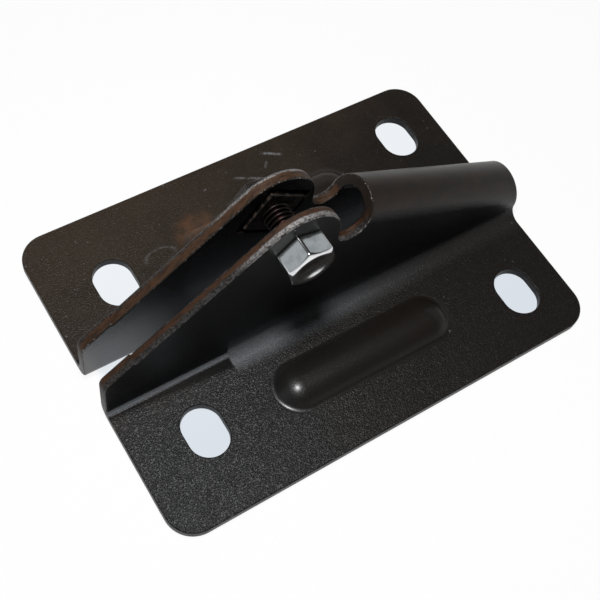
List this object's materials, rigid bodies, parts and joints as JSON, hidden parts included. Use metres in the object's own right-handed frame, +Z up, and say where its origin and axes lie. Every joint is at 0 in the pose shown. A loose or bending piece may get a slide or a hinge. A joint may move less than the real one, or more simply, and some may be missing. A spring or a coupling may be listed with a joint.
{
  "type": "door limiter strap bracket",
  "caption": "Pressed-steel door limiter strap bracket with slotted flanges, a sloping hollow ridge and paired ears that hold the strap's eye on a hex screw in a captive square nut.",
  "frame": {"origin": "middle of the plate's underside, which is the mounting face", "axes": "+X along the ridge towards its low closed end, +Y across the ridge towards the ear with the nut, +Z up out of the mounting face"},
  "size_m": [0.108, 0.077, 0.0448],
  "materials": {
    "black_paint": "semi-gloss black paint with fine grain, bare and rusty on the sheared edges",
    "bright_plating": "bright plated, smooth",
    "nut_steel": "dark oiled steel with some rust"
  },
  "bodies": {
    "root": {"bracket": "black_paint", "pivot_screw": "bright_plating", "square_nut": "nut_steel"}
  },
  "joints": []
}
